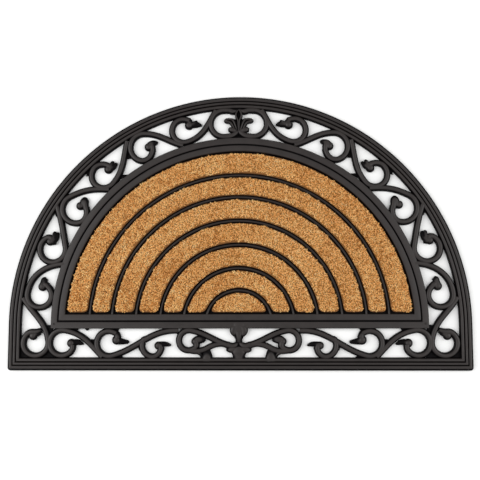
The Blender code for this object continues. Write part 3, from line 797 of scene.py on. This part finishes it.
def buildBody(name, outline):
    bm = bmesh.new()
    face = bm.faces.new([bm.verts.new(at(p.x, p.y, coirShape["floor"])) for p in outline])
    lifted = bmesh.ops.extrude_face_region(bm, geom=[face], use_keep_orig=True)["geom"]
    top = [v for v in lifted if isinstance(v, bmesh.types.BMVert)]
    bmesh.ops.translate(bm, verts=top, vec=(0, 0, (coirShape["bodyTop"] - coirShape["floor"]) * mm))
    rim = [e for e in bm.edges if e.verts[0] in top and e.verts[1] in top]
    bmesh.ops.bevel(
        bm, geom=rim, offset=coirShape["bodyShoulder"] * mm, offset_type="OFFSET", segments=4,
        profile=0.5, affect="EDGES", material=-1)
    bmesh.ops.recalc_face_normals(bm, faces=bm.faces)
    bmesh.ops.triangulate(bm, faces=bm.faces)
    return finishPiece(name, bm, [roots], rootsFinish["smoothAngle"])


def waves(x, y, size, seed, crossed=7):
    # smooth bumps from a few crossed waves, about size mm apart, mostly between -1 and 1
    turn = np.random.default_rng(seed)
    total = np.zeros_like(x)
    for _ in range(crossed):
        angle, shift, scale = turn.uniform(0, math.tau), turn.uniform(0, math.tau), turn.uniform(0.7, 1.4)
        total += np.sin((x * math.cos(angle) + y * math.sin(angle)) * math.tau / (size * scale) + shift)
    return total / 4.0


def edgeDistance(x, y, outline):
    # distance in mm from each point to the outline, and the outline's outward direction there
    ring = np.array([[p.x, p.y] for p in outline])
    after = np.roll(ring, -1, axis=0)
    along = after - ring
    length = np.hypot(along[:, 0], along[:, 1])
    best = np.full(x.shape, 1e9)
    outX, outY = np.zeros_like(x), np.zeros_like(x)
    for (px, py), (dx, dy), size in zip(ring, along, length):
        t = np.clip(((x - px) * dx + (y - py) * dy) / size ** 2, 0, 1)
        gapX, gapY = px + dx * t - x, py + dy * t - y
        gap = np.hypot(gapX, gapY)
        nearer = gap < best
        best = np.where(nearer, gap, best)
        outX = np.where(nearer, gapX / np.maximum(gap, 1e-6), outX)
        outY = np.where(nearer, gapY / np.maximum(gap, 1e-6), outY)
    return best, outX, outY


def insideField(x, y, outer, inner, margin):
    # true where a point lies inside the field by the margin, its lower corners rounded
    corner = coirShape["corner"] - margin
    reach = np.hypot(x, y - archY)
    low = fieldBase + margin
    side = np.minimum(outer - margin - reach, reach - inner - margin if inner else 1e9)
    away = np.hypot(np.maximum(corner - side, 0), np.maximum(corner - (y - low), 0))
    return (side > 0) & (y > low) & (away < corner)


def buildPile(name, outer, inner, outline, seed):
    draw = np.random.default_rng(seed)
    gap = coirShape["tuftSpacing"]
    gridX, gridY = np.meshgrid(
        np.arange(-outer, outer, gap), np.arange(fieldBase, archY + outer, gap * coirShape["rowPitch"]))
    gridX = gridX + gap / 2 * (np.arange(len(gridX)) % 2)[:, None]
    strewn = coirShape["strewn"]
    tuftX = gridX.ravel() + draw.uniform(-strewn, strewn, gridX.size) * gap
    tuftY = gridY.ravel() + draw.uniform(-strewn, strewn, gridX.size) * gap
    ragged = 0.5 + 0.5 * waves(tuftX, tuftY, coirShape["raggedWave"], seed + 1)
    wander = coirShape["wander"] * waves(tuftX, tuftY, coirShape["wanderWave"], seed + 3)
    wander = coirShape["setBack"] + wander
    keep = insideField(tuftX, tuftY, outer, inner, wander)
    sound = insideField(tuftX, tuftY, outer, inner, wander + coirShape["raggedDepth"])
    keep &= sound | (ragged > coirShape["raggedShare"])
    tuftX, tuftY, ragged = tuftX[keep], tuftY[keep], ragged[keep]
    tufts = len(tuftX)
    edge, outX, outY = edgeDistance(tuftX, tuftY, outline)
    near = np.clip(1 - (edge - coirShape["splayFrom"]) / coirShape["splayFade"], 0, 1)
    turn = draw.uniform(0, math.tau, tufts)
    lean = coirShape["tuftLean"] * np.sqrt(draw.uniform(0, 1, tufts))
    splay = coirShape["splay"] * (coirShape["splayLeast"] + ragged)
    tuftTipX = tuftX + lean * np.cos(turn) + outX * near * splay
    tuftTipY = tuftY + lean * np.sin(turn) + outY * near * splay
    lump = waves(tuftX, tuftY, coirShape["lumpWave"], seed + 2) * coirShape["lumpHeight"]
    lump = lump + draw.normal(0, coirShape["tuftUneven"], tufts)
    drop, raggedDrop = coirShape["edgeDrop"]
    tuftTop = coirShape["pileTop"] - coirShape["pileDip"] + lump
    tuftTop = tuftTop - near ** 2 * (drop + raggedDrop * ragged)
    tuftTone = draw.normal(0.5, coirShape["tuftTone"], tufts)
    tuftTone += coirShape["toneWaveShift"] * waves(tuftX, tuftY, coirShape["toneWave"], seed + 4)
    tuftTone -= np.where(draw.uniform(0, 1, tufts) < coirShape["huskShare"], coirShape["huskTone"], 0.0)

    each = coirShape["tuftStrands"]
    count = tufts * each
    own = np.repeat(np.arange(tufts), each)
    turn = draw.uniform(0, math.tau, count)
    spread = coirShape["tuftSpread"] * np.sqrt(draw.uniform(0, 1, count))
    x = tuftX[own] + spread * np.cos(turn)
    y = tuftY[own] + spread * np.sin(turn)
    rise = coirShape["shownLength"] * draw.uniform(*coirShape["lengthRange"], count)
    turn = draw.uniform(0, math.tau, count)
    lean = coirShape["strandLean"] * np.sqrt(draw.uniform(0, 1, count))
    top = tuftTop[own] + draw.normal(0, coirShape["strandUneven"], count)
    top = top - coirShape["tuftCrown"] * (spread / coirShape["tuftSpread"]) ** 2
    half = coirShape["strandWidth"] / 2 * draw.uniform(*coirShape["widthRange"], count)
    spin = draw.uniform(0, math.tau, count)
    drawn = coirShape["tuftDrawn"]
    points = np.empty((count, 4, 3))
    for corner, step in enumerate((0.0, math.tau / 3, 2 * math.tau / 3)):
        points[:, corner, 0] = x + half * np.cos(spin + step)
        points[:, corner, 1] = y + half * np.sin(spin + step) - matDepth / 2
        points[:, corner, 2] = top - rise
    points[:, 3, 0] = tuftTipX[own] + drawn * (x - tuftX[own]) + lean * np.cos(turn)
    points[:, 3, 1] = tuftTipY[own] + drawn * (y - tuftY[own]) + lean * np.sin(turn) - matDepth / 2
    points[:, 3, 2] = top
    first = np.arange(count)[:, None] * 4
    faces = np.concatenate([first + np.array([[0, 1, 3]]), first + np.array([[1, 2, 3]]),
                            first + np.array([[2, 0, 3]])], axis=1).reshape(-1, 3)
    mesh = bpy.data.meshes.new(name)
    mesh.from_pydata((points.reshape(-1, 3) * mm).tolist(), [], faces.tolist())
    tone = mesh.attributes.new("strandTone", "FLOAT", "POINT")
    shade = np.clip(tuftTone[own] + draw.normal(0, coirShape["strandTone"], count), 0.0, 1.0)
    values = np.repeat(shade, 4).reshape(-1, 4)
    # painted shade: the three root corners of each strand are darkened
    values[:, :3] -= coirShape["rootShade"]
    tone.data.foreach_set("value", values.ravel().astype(np.float32))
    mesh.materials.append(strands)
    mesh.shade_smooth()
    pile = bpy.data.objects.new(name, mesh)
    bpy.context.scene.collection.objects.link(pile)
    print(name, count, "strands")
    return pile


def buildCoir():
    spans = fieldRadii()
    names = [f"coir_band_{n}" for n in range(1, len(spans))] + ["coir_centre"]
    for number, (node, (outer, inner)) in enumerate(zip(names, spans)):
        label = "coirBand" + str(number + 1) if inner else "coirCentre"
        outline = outlineOf(outer, inner)
        bodyOutline = outlineOf(outer, inner, coirShape["bodySetBack"])
        body = buildBody(label + "Body", bodyOutline)
        pile = buildPile(label + "Pile", outer, inner, outline, coirShape["seed"] + number * 10)
        for piece in (body, pile):
            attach(piece, "root")
        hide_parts(node)


buildCoir()

# floor, light and camera

studio = {
    "floorSize": 8.0,
    "floorColour": "#f6f6f5",
    "sideSize": (1.6, 1.8),
    "leftPower": 30.0,
    "rightPower": 22.0,
    "sideAt": (1.5, 0.0, 1.15),
    "world": 0.53,
    "focal": 60.0,
    "sensor": 36.0,
    "cameraAt": (35.5, 78.7, 1303.5),
    "cameraTurn": (-5.81, -1.47, 0.20),  # degrees of tilt, pan and roll
}


def buildFloor():
    bm = bmesh.new()
    bmesh.ops.create_grid(bm, x_segments=1, y_segments=1, size=studio["floorSize"] / 2)
    bmesh.ops.translate(bm, verts=bm.verts, vec=(0, 0, -0.0001))
    material, tree, shader = newMaterial("paintedFloor")
    shader.inputs["Base Color"].default_value = toLinear(studio["floorColour"])
    shader.inputs["Roughness"].default_value = 0.9
    floor = finishPiece("floor", bm, [material])


def addSoftbox(name, side, power):
    lamp = bpy.data.lights.new(name, "AREA")
    lamp.shape = "RECTANGLE"
    lamp.size, lamp.size_y = studio["sideSize"]
    lamp.energy = power
    box = bpy.data.objects.new(name, lamp)
    x, y, z = studio["sideAt"]
    box.location = (side * x, y, z)
    box.rotation_euler = (-Vector(box.location)).to_track_quat("-Z", "Y").to_euler()
    bpy.context.scene.collection.objects.link(box)


def buildCamera():
    # fitted to the outline and the ridges in the picture
    lens = bpy.data.cameras.new("camera")
    lens.sensor_width = studio["sensor"]
    lens.lens = studio["focal"]
    lens.clip_start, lens.clip_end = 0.01, 50.0
    camera = bpy.data.objects.new("camera", lens)
    tilt, pan, roll = [math.radians(angle) for angle in studio["cameraTurn"]]
    turn = Matrix.Rotation(roll, 3, "Z") @ Matrix.Rotation(pan, 3, "Y") @ Matrix.Rotation(tilt, 3, "X")
    camera.rotation_euler = turn.transposed().to_euler()
    camera.location = at(*studio["cameraAt"])
    bpy.context.scene.collection.objects.link(camera)
    bpy.context.scene.camera = camera


buildFloor()
addSoftbox("leftSoftbox", -1, studio["leftPower"])
addSoftbox("rightSoftbox", 1, studio["rightPower"])
world = bpy.data.worlds.new("studio")
world.use_nodes = True
world.node_tree.nodes["Background"].inputs["Color"].default_value = (1, 1, 1, 1)
world.node_tree.nodes["Background"].inputs["Strength"].default_value = studio["world"]
bpy.context.scene.world = world
bpy.context.scene.view_settings.view_transform = "Standard"
buildCamera()
print("studio ready")
